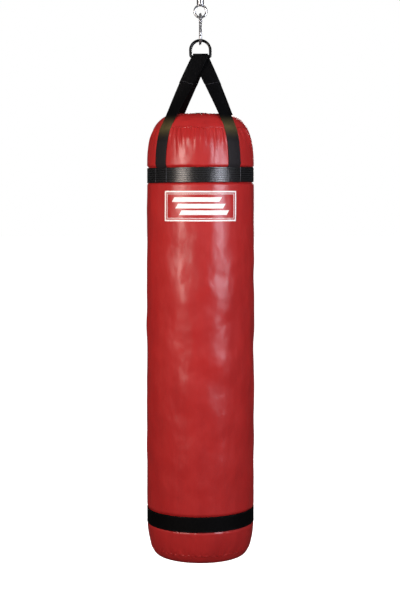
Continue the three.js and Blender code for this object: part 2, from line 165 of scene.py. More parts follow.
def vinyl_material():
    m = Nodes("red_vinyl")
    where = m.place()
    streak = m.noise(m.place(stretch=(1, 1, 0.12)), 26, 4, 0.6)
    cloud = m.noise(where, 7, 3)
    tone = m.maths("ADD", m.maths("MULTIPLY", streak, 0.5), m.maths("MULTIPLY", cloud, 0.5))
    colour = m.ramp(tone, [(0.3, linear(163, 25, 25)), (0.7, linear(180, 34, 32))])
    cells = m.make("ShaderNodeTexVoronoi", {"Vector": where, "Scale": 620}, feature="SMOOTH_F1")
    cells = cells.outputs["Distance"]
    grain = m.noise(where, 1500, 2)
    dents = m.noise(m.place(stretch=(1, 1, 0.7)), 12, 2, 0.45)
    normal = m.bump(dents, 0.8, 0.014)
    normal = m.bump(m.noise(where, 34, 4), 0.16, 0.003, normal)
    normal = m.bump(cells, 0.06, 0.0004, normal)
    normal = m.bump(grain, 0.03, 0.0002, normal)
    m.set(Base_Color=colour, Roughness=m.between(m.noise(where, 13, 5, 0.65), 0.2, 0.5), Normal=normal)
    m.shader.inputs["Specular IOR Level"].default_value = 0.5
    m.shader.inputs["Coat Weight"].default_value = 0.22
    m.shader.inputs["Coat Roughness"].default_value = 0.3
    return m.material


def webbing_material(name, dark, light, rough, gloss, bend_sheen=None, pitch_mm=2.0, relief=0.5):
    """Woven narrow fabric. UV is in metres: u along the tape, v across it. A sheen colour given paints a
    highlight where the strap bends over the shoulder and paints the strap lighter below it.
    """
    m = Nodes(name)
    uv = m.make("ShaderNodeTexCoord").outputs["UV"]
    pitch = 1 / (pitch_mm * MM)
    wales = m.make("ShaderNodeMapping", {"Vector": uv, "Scale": (pitch, pitch, 1)}).outputs["Vector"]
    split = m.make("ShaderNodeSeparateXYZ", {"Vector": wales})
    u, v = split.outputs["X"], split.outputs["Y"]
    column = m.maths("FLOOR", v)
    offset = m.maths("MULTIPLY", m.maths("MODULO", column, 2.0), 0.5)
    step = m.maths("FRACT", m.maths("ADD", u, offset))
    across = m.maths("FRACT", v)
    round_u = m.maths("SINE", m.maths("MULTIPLY", step, math.pi))
    round_v = m.maths("SINE", m.maths("MULTIPLY", across, math.pi))
    height = m.maths("MULTIPLY", round_u, m.maths("POWER", round_v, 0.6))
    fuzz = m.noise(m.place("Object"), 900, 3)
    colour = m.ramp(m.maths("ADD", m.maths("MULTIPLY", height, 0.6), m.maths("MULTIPLY", fuzz, 0.4)),
                    [(0.1, dark), (0.9, light)])
    normal = m.bump(height, relief, 0.0004)
    normal = m.bump(fuzz, 0.12, 0.0002, normal)
    if bend_sheen:
        # Painted sheen: an olive highlight painted onto the strap where it bends over the shoulder, broken up
        # by noise.
        height_z = m.make("ShaderNodeSeparateXYZ", {"Vector": m.place()}).outputs["Z"]
        bend = m.maths("ABSOLUTE", m.maths("ADD", height_z, -BEND_Z))
        near = m.between(bend, 1.0, 0.0, 0.0, 0.045, interpolation_type="SMOOTHSTEP")
        painted_sheen = m.maths("MULTIPLY", near, m.between(m.noise(m.place(), 55, 4), 0.45, 1.15))
        # Painted light: the strap below the bend is painted lighter grey, as if light falls on it there.
        painted_light_below_bend = m.between(height_z, 1.0, 0.0, BEND_Z - 0.05, BEND_Z)
        colour = m.mix(painted_light_below_bend, m.mix(painted_sheen, colour, (*bend_sheen, 1)), (*linear(34, 31, 33), 1))
    m.set(Base_Color=colour, Roughness=m.between(fuzz, rough - 0.06, rough + 0.06), Normal=normal)
    m.shader.inputs["Specular IOR Level"].default_value = min(gloss, 1.0)
    m.shader.inputs["Coat Weight"].default_value = max(0.0, gloss - 1.0)
    m.shader.inputs["Coat Roughness"].default_value = 0.26
    return m.material


def metal_material(name, colour, metallic, low, high):
    m = Nodes(name)
    where = m.place()
    smudge = m.noise(where, 90, 4, 0.6)
    fine = m.noise(m.place(stretch=(1, 1, 0.2)), 1400, 2)
    tone = m.ramp(smudge, [(0.3, tuple(c * 0.9 for c in colour)), (0.7, colour)])
    m.set(Base_Color=tone, Roughness=m.between(smudge, low, high), Normal=m.bump(fine, 0.008, 0.0001))
    m.shader.inputs["Metallic"].default_value = metallic
    return m.material


def cloth_material(name, dark, light, scale, rough=0.9):
    m = Nodes(name)
    where = m.place()
    weave = m.make("ShaderNodeTexWave", {"Vector": where, "Scale": scale, "Distortion": 1.5}).outputs["Fac"]
    cross = m.make("ShaderNodeTexWave", {"Vector": where, "Scale": scale, "Distortion": 1.5},
                   bands_direction="Z").outputs["Fac"]
    height = m.maths("MULTIPLY", weave, cross)
    tone = m.maths("ADD", m.maths("MULTIPLY", height, 0.4), m.maths("MULTIPLY", m.noise(where, 40, 4), 0.6))
    m.set(Base_Color=m.ramp(tone, [(0.2, dark), (0.8, light)]), Normal=m.bump(height, 0.4, 0.0005))
    m.shader.inputs["Roughness"].default_value = rough
    return m.material


def print_material():
    m = Nodes("white_print")
    where = m.place()
    wear = m.noise(where, 260, 5, 0.7)
    colour = m.ramp(wear, [(0.25, linear(228, 205, 200)), (0.5, linear(246, 243, 240))])
    m.set(Base_Color=colour, Roughness=m.between(wear, 0.4, 0.55), Normal=m.bump(wear, 0.08, 0.0003))
    return m.material


RED = vinyl_material()
# The olive colour is a painted sheen for the strap's bend over the shoulder.
WEBBING = webbing_material("black_webbing", linear(1, 1, 2), linear(8, 8, 10), 0.5, 0.14, linear(88, 79, 50))
BAND_WEB = webbing_material("band_webbing", linear(4, 4, 5), linear(16, 16, 18), 0.26, 1.7, None, 1.3, 0.16)
LOW_WEB = webbing_material("low_band_webbing", linear(1, 1, 1), linear(7, 6, 7), 0.6, 0.12)
CHROME = metal_material("chrome", (0.84, 0.85, 0.88), 0.93, 0.14, 0.24)
BLACK_STEEL = metal_material("black_steel", linear(12, 12, 14), 0.3, 0.1, 0.2)
BRASS = metal_material("cage_brass", linear(176, 141, 74), 1.0, 0.25, 0.4)
# Light-grey thread: real stitching, and its light tone is partly a painted highlight for the band's ridge
# over each strap edge.
GREY_THREAD_HIGHLIGHT = cloth_material("grey_thread_painted_highlight", linear(96, 96, 102), linear(140, 140, 146), 1800, 0.6)
DIM_THREAD = cloth_material("dim_thread", linear(46, 46, 50), linear(84, 84, 90), 1800, 0.6)
BLACK_THREAD = cloth_material("black_thread", linear(14, 14, 17), linear(52, 52, 58), 1800, 0.5)
RED_THREAD = cloth_material("red_thread", linear(150, 26, 24), linear(190, 46, 42), 1800, 0.5)
CORD = cloth_material("black_cord", linear(8, 8, 9), linear(40, 40, 44), 900, 0.75)
CANVAS = cloth_material("canvas", linear(190, 182, 160), linear(220, 214, 196), 500)
RAG = cloth_material("textile_scrap", linear(90, 88, 86), linear(160, 156, 150), 120)
PRINT = print_material()


# ---------------------------------------------------------------- mesh helpers
def turned(radius, angle, z):
    """The point at this radius, angle from the front and height."""
    return radius * math.sin(angle), -radius * math.cos(angle), z


def circle(count):
    return [2 * math.pi * i / count for i in range(count)]


def in_mm(*points):
    return [(r * MM, z * MM) for r, z in points]


def new_object(name, vertices, faces, material, uv=None):
    mesh = bpy.data.meshes.new(name)
    mesh.from_pydata([tuple(v) for v in vertices], [], [tuple(int(i) for i in f) for f in faces])
    mesh.update()
    if uv is not None:
        layer = mesh.uv_layers.new(name="UVMap")
        loops = np.empty(len(mesh.loops), dtype=np.int32)
        mesh.loops.foreach_get("vertex_index", loops)
        layer.data.foreach_set("uv", np.asarray(uv, dtype=np.float32)[loops].ravel())
    mesh.polygons.foreach_set("use_smooth", [True] * len(mesh.polygons))
    mesh.materials.append(material)
    obj = bpy.data.objects.new(name, mesh)
    bpy.context.scene.collection.objects.link(obj)
    return obj


def grid_faces(rows, columns, wrap_rows=False, wrap_columns=False):
    faces = []
    last_row = rows if wrap_rows else rows - 1
    last_column = columns if wrap_columns else columns - 1
    for j in range(last_row):
        for i in range(last_column):
            a, b = j * columns + i, j * columns + (i + 1) % columns
            c, d = ((j + 1) % rows) * columns + (i + 1) % columns, ((j + 1) % rows) * columns + i
            faces.append((a, b, c, d))
    return faces


def outward(obj):
    """Turns a closed mesh's faces outwards."""
    bm = bmesh.new()
    bm.from_mesh(obj.data)
    bmesh.ops.recalc_face_normals(bm, faces=bm.faces)
    if bm.calc_volume(signed=True) < 0:
        bmesh.ops.reverse_faces(bm, faces=bm.faces)
    bm.to_mesh(obj.data)
    bm.free()
    return obj


def tube(name, path, radius, material, sides=24, closed=False):
    """A round wire along a path, with frames carried along it and rounded ends."""
    path = [Vector(p) for p in path]
    count = len(path)
    tangents = []
    for i in range(count):
        before = path[(i - 1) % count] if closed else path[max(i - 1, 0)]
        after = path[(i + 1) % count] if closed else path[min(i + 1, count - 1)]
        tangents.append((after - before).normalized())
    start = tangents[0].orthogonal().normalized()
    frames = [start]
    for i in range(1, count):
        turn = tangents[i - 1].rotation_difference(tangents[i])
        frames.append((turn @ frames[-1]).normalized())
    twist = 0.0
    if closed:
        turn = tangents[-1].rotation_difference(tangents[0])
        ended = turn @ frames[-1]
        twist = math.atan2(ended.cross(frames[0]).dot(tangents[0]), ended.dot(frames[0]))
    rings = []
    for i, (point, tangent, side) in enumerate(zip(path, tangents, frames)):
        spin = twist * i / count
        other = tangent.cross(side)
        rings.append([point + (side * math.cos(a + spin) + other * math.sin(a + spin)) * radius
                      for a in circle(sides)])
    if closed:
        vertices = [v for ring in rings for v in ring]
        return outward(new_object(name, vertices, grid_faces(count, sides, True, True), material))
    caps = []
    for end, sign in ((0, -1), (-1, 1)):
        dome = [[path[end] + (v - path[end]) * math.cos(t) + tangents[end] * sign * radius * 0.5 * math.sin(t)
                 for v in rings[end]] for t in (math.radians(30), math.radians(60), math.radians(80))]
        caps.append(dome)
    rings = caps[0][::-1] + rings + caps[1]
    vertices = [v for ring in rings for v in ring]
    faces = grid_faces(len(rings), sides, False, True)
    faces.append(tuple(range(sides))[::-1])
    faces.append(tuple(range((len(rings) - 1) * sides, len(rings) * sides)))
    return outward(new_object(name, vertices, faces, material))


def revolve(name, profile, material, segments=64, at=(0, 0, 0)):
    """Turned about Z from [radius, z] points that start and end on the axis or close on themselves."""
    on_axis = profile[0][0] < 1e-9 and profile[-1][0] < 1e-9
    rows = profile[1:-1] if on_axis else profile
    vertices = [(r * math.cos(a) + at[0], r * math.sin(a) + at[1], z + at[2])
                for r, z in rows for a in circle(segments)]
    faces = grid_faces(len(rows), segments, not on_axis, True)
    if on_axis:
        for (_, z), row in ((profile[0], 0), (profile[-1], len(rows) - 1)):
            tip = len(vertices)
            vertices.append((at[0], at[1], z + at[2]))
            faces += [(tip, row * segments + i, row * segments + (i + 1) % segments) for i in range(segments)]
    return outward(new_object(name, vertices, faces, material))


def rounded(profile, radius, steps=4):
    """The profile with each sharp corner turned by an arc."""
    result = [profile[0]]
    for before, here, after in zip(profile, profile[1:], profile[2:]):
        p, q, s = Vector(before), Vector(here), Vector(after)
        a, b = (p - q), (s - q)
        reach = min(radius, a.length * 0.45, b.length * 0.45)
        a, b = q + a.normalized() * reach, q + b.normalized() * reach
        for i in range(steps + 1):
            t = i / steps
            result.append(tuple(a * (1 - t) ** 2 + q * 2 * t * (1 - t) + b * t ** 2))
    result.append(profile[-1])
    return result


def boolean(obj, cutter, operation):
    modifier = obj.modifiers.new("cut", "BOOLEAN")
    modifier.operation, modifier.object, modifier.solver = operation, cutter, "EXACT"
    graph = bpy.context.evaluated_depsgraph_get()
    mesh = bpy.data.meshes.new_from_object(obj.evaluated_get(graph))
    obj.modifiers.clear()
    obj.data = mesh
    bpy.data.objects.remove(cutter)
    return obj


def shade(obj, degrees=35):
    obj.data.shade_smooth()
    obj.data.set_sharp_from_angle(angle=math.radians(degrees))
    return obj


def rod_x(name, radius, low, high, y, z):
    """A cylinder along X, used as a cutter or a small part."""
    profile = [(0, low), (radius, low), (radius, high), (0, high)]
    obj = revolve(name, profile, CHROME, 48)
    for v in obj.data.vertices:
        v.co = Vector((v.co.z, v.co.x + y, v.co.y + z))
    return outward(obj)


# ---------------------------------------------------------------- outline of the bag
def shoulder(t):
    p = np.array([[RIM_R, BAG_TOP], [148 * MM, BAG_TOP - 10 * MM], [181 * MM, BAG_TOP - 60 * MM],
                  [BODY_R, UPPER_Z]])
    t = np.asarray(t)[..., None]
    return (1 - t) ** 3 * p[0] + 3 * t * (1 - t) ** 2 * p[1] + 3 * t * t * (1 - t) * p[2] + t ** 3 * p[3]


def base_corner(t):
    angle = np.asarray(t) * math.pi / 2
    c, s = np.cos(angle).clip(0) ** BASE_POWER, np.sin(angle) ** BASE_POWER
    return np.stack([BASE_FLAT_R + (BODY_R - BASE_FLAT_R) * c, BAG_BOTTOM + BASE_CORNER * (1 - s)], axis=-1)


def pressed(line):
    """The line pushed in under the two bands, with soft flanks."""
    def under(z, middle):
        edge = (np.abs(z - middle) - WEB_WIDTH / 2) / (9 * MM)
        return 1 / (1 + np.exp(np.minimum((edge - 0.35) * 7, 80)))
    out = line.copy()
    out[:, 0] -= PRESS_UPPER * under(line[:, 1], UPPER_Z) + PRESS_LOWER * under(line[:, 1], LOWER_Z)
    return out


def normals_of(line):
    along = np.gradient(line, axis=0)
    along /= np.linalg.norm(along, axis=1)[:, None]
    return np.stack([-along[:, 1], along[:, 0]], axis=1)


def spaced(line, steps):
    """Points of a fine line at distances that steps(position 0..1) makes closer or wider."""
    length = np.concatenate([[0], np.cumsum(np.linalg.norm(np.diff(line, axis=0), axis=1))])
    at = steps(length)
    return np.stack([np.interp(at, length, line[:, k]) for k in (0, 1)], axis=1), at


def gathers(down, count, reach, width, depth, seed):
    """Sewn-in fullness that starts at a seam and fades away from it: sharp valleys between puffed folds."""
    rng = np.random.default_rng(seed)
    total = np.zeros((len(down), AROUND))
    for k in range(count):
        centre = 2 * math.pi * (k + rng.uniform(-0.42, 0.42)) / count
        lean = rng.uniform(-0.9, 0.9)
        long = reach * rng.uniform(0.25, 1.0)
        wide = width * rng.uniform(0.6, 1.6)
        deep = depth * rng.uniform(0.3, 1.0)
        gap = (ANGLES[None, :] - centre - lean * down[:, None] + math.pi) % (2 * math.pi) - math.pi
        arc = gap * BODY_R * 0.95 / (wide * (1 + 1.1 * down[:, None] / reach))
        fade = np.exp(-(down[:, None] / long) ** 2) * (down[:, None] >= 0)
        total += deep * fade * (0.75 * np.exp(-(arc - 1.9) ** 2 / 1.6) - np.exp(-np.abs(arc) ** 1.3))
    return total


def undulation(z, seed, size, finest=0.07, widest=0.22, waves=64):
    """Soft waves of many directions over the wall, size deep on average."""
    rng = np.random.default_rng(seed)
    total = np.zeros((len(z), AROUND))
    for _ in range(waves):
        length = finest * (widest / finest) ** rng.uniform(0, 1)
        turn = rng.uniform(0, math.pi)
        around = round(2 * math.pi * BODY_R / length * math.cos(turn))
        along = 2 * math.pi / length * math.sin(turn)
        wave = np.sin(around * ANGLES[None, :] + along * z[:, None] + rng.uniform(0, 2 * math.pi))
        total += wave * math.sqrt(length / finest)
    return total * size / total.std()


def under_straps(z):
    """1 where a strap holds the vinyl flat, 0 away from the straps."""
    held = np.zeros((len(z), AROUND))
    for azimuth in STRAP_AZIMUTHS:
        gap = np.abs((ANGLES - azimuth + math.pi) % (2 * math.pi) - math.pi) * BODY_R
        held += 1 / (1 + np.exp((gap[None, :] - WEB_WIDTH / 2 - 2.5 * MM) / (0.9 * MM)))
    return held * (z[:, None] > UPPER_Z - WEB_WIDTH / 2)


def skin(name, outer, displacement):
    """A thin closed wall turned about Z: outer rows with their displacement, then plain inner rows."""
    normal = normals_of(outer)
    radial = outer[:, None, 0] + displacement * normal[:, None, 0]
    height = outer[:, None, 1] + displacement * normal[:, None, 1]
    inner_pick = np.unique(np.linspace(0, len(outer) - 1, max(6, len(outer) // 5)).astype(int))[::-1]
    inner = outer[inner_pick] - normal[inner_pick] * VINYL
    radial = np.vstack([radial, np.repeat(inner[:, :1], AROUND, 1)])
    height = np.vstack([height, np.repeat(inner[:, 1:], AROUND, 1)])
    points = np.stack([radial * np.sin(ANGLES), -radial * np.cos(ANGLES), height], axis=-1)
    faces = grid_faces(points.shape[0], AROUND, True, True)
    return outward(new_object(name, points.reshape(-1, 3), faces, RED))


# ---------------------------------------------------------------- stitches
STITCHES = {}


def stitch(kind, start, end, normal, size=0.55 * MM):
    STITCHES.setdefault(kind, []).append((Vector(start), Vector(end), Vector(normal), size))


def stitch_row(kind, points, normals, pitch=4.6 * MM, size=0.55 * MM):
    """Stitches of even length along a line of points."""
    points = np.asarray(points, dtype=float)
    length = np.concatenate([[0], np.cumsum(np.linalg.norm(np.diff(points, axis=0), axis=1))])
    count = max(1, int(length[-1] / pitch))
    step = length[-1] / count
    normals = np.asarray(normals, dtype=float)
    for k in range(count):
        ends = [(k + 0.1) * step, (k + 0.9) * step]
        a, b = ([np.interp(d, length, points[:, c]) for c in range(3)] for d in ends)
        n = [np.interp((k + 0.5) * step, length, normals[:, c]) for c in range(3)]
        stitch(kind, a, b, n, size)


def make_stitches():
    """One mesh for each kind of thread, a bowed bead for each stitch."""
    sides = 6
    stations = [(0.0, 0.35), (0.14, 0.85), (0.5, 1.0), (0.86, 0.85), (1.0, 0.35)]
    for kind, material, slot in (("grey", GREY_THREAD_HIGHLIGHT, "webbing"), ("black", BLACK_THREAD, "webbing"),
                                 ("dim", DIM_THREAD, "webbing"), ("red", RED_THREAD, "red_vinyl")):
        vertices, faces = [], []
        for start, end, normal, size in STITCHES.get(kind, []):
            along = (end - start).normalized()
            up = (normal - along * normal.dot(along)).normalized()
            side = along.cross(up)
            base = len(vertices)
            for t, wide in stations:
                lift = size * (0.9 * math.sin(math.pi * t) - 0.25)
                middle = start.lerp(end, t) + up * lift
                for a in circle(sides):
                    vertices.append(middle + (side * math.cos(a) + up * math.sin(a) * 0.8) * size * wide)
            faces += [tuple(base + i for i in f) for f in grid_faces(len(stations), sides, False, True)]
            faces.append(tuple(base + k for k in range(sides))[::-1])
            faces.append(tuple(base + (len(stations) - 1) * sides + k for k in range(sides)))
        piece = outward(new_object(f"{kind}_stitching", vertices, faces, material))
        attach(piece, "bag")


# ---------------------------------------------------------------- vinyl pieces
def make_shell():
    t = np.linspace(HEM_T - 0.035, 1, 400)
    top = shoulder(t)
    wall = np.linspace(UPPER_Z - 1 * MM, BAG_BOTTOM + BASE_CORNER, 400)
    middle = np.stack([np.full(400, BODY_R), wall], axis=1)
    line = np.vstack([top, middle[:-1], base_corner(np.linspace(0, BASE_T + 0.01, 200))])
    line = pressed(line)
    marks = np.array([UPPER_Z, LOWER_Z])

    def steps(length):
        at = [0.0]
        while at[-1] < length[-1]:
            z = np.interp(at[-1], length, line[:, 1])
            from_band = abs(abs(z - marks) - WEB_WIDTH / 2).min()
            from_end = min(at[-1], length[-1] - at[-1])
            near = min(from_band, max(0, from_end - 60 * MM))
            at.append(at[-1] + float(np.clip(near * 0.25, 2 * MM, 14 * MM)))
        return np.array(at[:-1] + [length[-1]])

    rows, at = spaced(line, steps)
    seam_z = shoulder(HEM_T)[1]
    base_z = base_corner(BASE_T)[1]
    lumps = undulation(rows[:, 1], 3, SLACK) + 0.7 * MM
    lumps *= np.clip(np.minimum(at, at[-1] - at) / (40 * MM), 0, 1)[:, None]
    lumps *= np.clip(np.abs(rows[:, 1:] - marks).min(axis=1) / (90 * MM) - 0.28, 0.15, 1)[:, None]
    tucks = gathers(seam_z - rows[:, 1] + 2 * MM, 92, 74 * MM, 2.7 * MM, 3.4 * MM, 5)
    hems = gathers(rows[:, 1] - base_z + 1 * MM, 74, 20 * MM, 3.2 * MM, 1.5 * MM, 6)
    above = gathers(rows[:, 1] - (UPPER_Z + WEB_WIDTH / 2), 60, 14 * MM, 4 * MM, 0.7 * MM, 8)
    below = gathers((UPPER_Z - WEB_WIDTH / 2) - rows[:, 1], 60, 16 * MM, 4 * MM, 0.6 * MM, 9)
    over = gathers(rows[:, 1] - (LOWER_Z + WEB_WIDTH / 2), 56, 14 * MM, 4 * MM, 0.5 * MM, 10)
    under = gathers((LOWER_Z - WEB_WIDTH / 2) - rows[:, 1], 56, 18 * MM, 4 * MM, 0.7 * MM, 11)
    back = (np.abs(ANGLES - math.pi) * BODY_R)[None, :]
    lap = 0.9 * MM / (1 + np.exp(np.minimum((back - 7 * MM) / (0.5 * MM), 80)))
    held = ((np.abs(rows[:, 1] - UPPER_Z) < WEB_WIDTH / 2 + 1 * MM)
            | (np.abs(rows[:, 1] - LOWER_Z) < WEB_WIDTH / 2 + 1 * MM))
    displacement = lumps + tucks + hems + above + below + over + under + lap
    displacement[held] = np.minimum(displacement[held], 0.2 * MM)
    flat = under_straps(rows[:, 1])
    displacement = displacement * (1 - flat) + np.minimum(displacement, 0.3 * MM) * flat
    shell = skin("vinyl_shell", rows, displacement)
    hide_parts("shell")
    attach(shell, "bag")
    for side in (-4 * MM, 4 * MM):
        angle = math.pi + side / BODY_R
        keep = [(r + 0.9 * MM, z) for r, z in rows if UPPER_Z - 30 * MM > z > LOWER_Z + 30 * MM]
        points = [turned(r, angle, z) for r, z in keep]
        stitch_row("red", points, [(0, 1, 0)] * len(points), 6 * MM)
    return shell


def make_collar():
    """The hem panel over the shoulder, its scalloped rim and the deck that the drawstring closes."""
    outer = shoulder(np.linspace(HEM_T, 0.03, 60))
    rim_in = np.array([[RIM_R - 4 * MM, BAG_TOP + 2.6 * MM], [RIM_R - 9 * MM, BAG_TOP + 2.8 * MM],
                       [RIM_R - 14 * MM, BAG_TOP + 1.4 * MM]])
    deck = np.stack([np.linspace(RIM_R - 20 * MM, MOUTH_R, 14), np.full(14, BAG_TOP + 0.6 * MM)], axis=1)
    line = np.vstack([outer, rim_in, deck])
    lift = np.zeros(len(line))
    lift[:60] = 1.3 * MM
    normal = -normals_of(line)
    line = line + normal * lift[:, None]
    first = line[0] - normal[0] * 1.8 * MM
    line = np.vstack([first, line])
    rng = np.random.default_rng(21)
    radius = line[:, 0]
    displacement = np.zeros((len(line), AROUND))
    for k in range(30):
        centre = 2 * math.pi * (k + rng.uniform(-0.3, 0.3)) / 30
        gap = (ANGLES - centre + math.pi) % (2 * math.pi) - math.pi
        arc = gap * RIM_R / (3.4 * MM)
        wave = (np.exp(-(np.abs(arc) - 1.6) ** 2) * 0.8 - np.exp(-np.abs(arc) ** 1.4)) * rng.uniform(0.4, 1.0)
        close = np.exp(-((radius - RIM_R + 2 * MM) / (rng.uniform(7, 15) * MM)) ** 2)
        displacement += close[:, None] * wave[None, :] * 2.6 * MM
        inner = np.exp(-((radius - MOUTH_R) / (14 * MM)) ** 2)
        displacement -= inner[:, None] * wave[None, :] * 1.0 * MM
    panel = np.clip((line[:, 0] - RIM_R - 10 * MM) / (20 * MM), 0, 1)
    displacement += panel[:, None] * undulation(line[:, 1] * 4, 31, 0.25 * MM)
    collar = skin("mouth_collar", line[::-1], displacement[::-1])
    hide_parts("top_collar")
    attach(collar, "bag")
    row = np.stack([shoulder(HEM_T - 0.02), shoulder(HEM_T - 0.021)])
    out = np.abs(normals_of(row)[0])
    r, z = row[0] + out * 1.7 * MM
    angles = np.linspace(0, 2 * math.pi, 240)
    points = [turned(r, a, z) for a in angles]
    stitch_row("red", points, [turned(out[0], a, out[1]) for a in angles], 5 * MM)


def make_flap():
    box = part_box("top_flap")
    edge, low, high = box[1].x, box[0].z, box[1].z
    radii = np.linspace(0, edge, 26)
    crown = [(r, high + 2.5 * MM * math.cos(r / edge * math.pi / 2) - 2 * MM) for r in radii[1:]]
    flap = revolve("mouth_flap", [(0, high)] + crown + [(edge, low), (0, low)], RED, 120)
    for v in flap.data.vertices:
        r, a = math.hypot(v.co.x, v.co.y), math.atan2(v.co.y, v.co.x)
        ripple = 1.2 * MM * (r / edge) ** 2 * math.sin(15 * a + 2 * math.sin(3 * a))
        v.co.z += ripple * (v.co.z > low + 0.5 * MM)
    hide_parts("top_flap")
    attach(flap, "bag")


def make_base():
    t = np.linspace(BASE_T - 0.004, 1, 50)
    corner = base_corner(t)
    inner = np.stack([np.linspace(BASE_FLAT_R, 0.001, 24)[1:], np.full(23, BAG_BOTTOM)], axis=1)
    line = np.vstack([corner, inner])
    down = corner[0, 1] - line[:, 1]
    tucks = gathers(down, 66, 16 * MM, 3.4 * MM, 1.3 * MM, 15)
    flat = np.clip((line[:, 0] - BASE_FLAT_R) / (8 * MM), 0, 1)
    sag = -2.2 * MM * np.clip(1 - (line[:, 0] / BASE_FLAT_R) ** 2, 0, 1)
    line[:, 1] += sag
    base = skin("base_disc", line, tucks * flat[:, None])
    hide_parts("base_panel")
    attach(base, "bag")
    ring = base_corner(BASE_T + 0.03)
    angles = np.linspace(0, 2 * math.pi, 240)
    points = [turned(ring[0] + 0.4 * MM, a, ring[1]) for a in angles]
    stitch_row("red", points, [turned(1, a, -0.6) for a in angles], 5 * MM)


# ---------------------------------------------------------------- webbing
def make_band(name, node, middle, ribs, material):
    """A band of webbing round the bag, with rows of stitching pulled into it."""
    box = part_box(node)
    outer = box[1].x
    half = WEB_WIDTH / 2
    across = np.linspace(-half, half, 60)
    edge = np.clip((half - np.abs(across)) / (1.2 * MM), 0, 1)
    face = outer - 0.9 * MM * (1 - np.sqrt(1 - (1 - edge) ** 2))
    profile = []
    for v, radius in zip(across, face):
        dip = 0.0
        if ribs:
            phase = (v + half) / WEB_WIDTH * ribs
            dip = 0.7 * MM * math.exp(-((phase - round(phase)) * 7.2 / 1.6) ** 2)
        profile.append((radius - dip, middle + v))
    profile += [(outer - 2 * MM, middle + half - 0.3 * MM), (outer - 2 * MM, middle - half + 0.3 * MM)]
    columns = 360
    angles = [2 * math.pi * i / columns for i in range(columns + 1)]
    vertices, uv = [], []
    rng = np.random.default_rng(len(name))
    waver = [sum(rng.uniform(-0.3, 0.3) * math.sin(k * a + k) for k in range(2, 6)) * MM for a in angles[:-1]]
    waver.append(waver[0])
    for radius, z in profile:
        for a, w in zip(angles, waver):
            vertices.append(turned(radius, a, z + BAND_TILT * math.sin(a) + w))
            uv.append((a * outer, z))
    faces = grid_faces(len(profile), columns + 1, True, False)
    band = new_object(name, vertices, faces, material, uv)
    bm = bmesh.new()
    bm.from_mesh(band.data)
    bmesh.ops.remove_doubles(bm, verts=bm.verts, dist=1e-6)
    bm.to_mesh(band.data)
    bm.free()
    outward(band)
    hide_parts(node)
    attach(band, "bag")
    lines = [middle - half + WEB_WIDTH * k / ribs for k in range(1, ribs)] if ribs else []
    lines += [middle - half + 3 * MM, middle + half - 3 * MM]
    for z in lines:
        points = [turned(outer - 0.3 * MM, a, z + BAND_TILT * math.sin(a) + w) for a, w in zip(angles, waver)]
        stitch_row("black", points, [turned(1, a, 0) for a in angles], 4.2 * MM, 0.42 * MM)


def strap_rows(azimuths):
    """The strap's centre line as (point, width direction, how far it wraps the shell, shell radius)."""
    loop = RING_WIRE_R + 0.4 * MM + WEB / 2
    lean = math.radians(23)
    bar = Vector((0, -RING_BAR_Y, RING_BAR_Z))
    arc = [bar + Vector((0, math.cos(a), math.sin(a))) * loop
           for a in (math.pi - lean - math.pi * i / 24 for i in range(25))]
    fine = pressed(shoulder(np.linspace(0, 1, 241)))
    out = -normals_of(fine)
    path = fine + np.where(out[:, :1] > 0, out, -out) * (0.9 * MM + WEB / 2)
    legs = []
    for azimuth, start in ((azimuths[0], arc[0]), (azimuths[1], arc[-1])):
        radial = Vector(turned(1, azimuth, 0))
        reach = start.dot(radial)
        slopes = (path[:, 0] - reach) / (start.z - path[:, 1])
        touch = int(np.argmax(slopes))
        held = [tuple(p) for p in path[touch::4]][::-1]
        foot = UPPER_Z - WEB_WIDTH / 2 + 1 * MM
        held = [(held[0][0], foot)] + held
        rows = [(radial * r + Vector((0, 0, z)), azimuth, 1.0, r) for r, z in held]
        top = rows[-1][0]
        for i in range(1, 40):
            s = i / 40
            facing = azimuth * (1 - s * s * (3 - 2 * s))
            rows.append((top.lerp(start, s), facing, max(0.0, 1 - 3 * s), held[-1][0]))
        legs.append(rows)
    return legs[0], [(p, 0.0, 0.0, 1.0) for p in arc], legs[1][::-1]


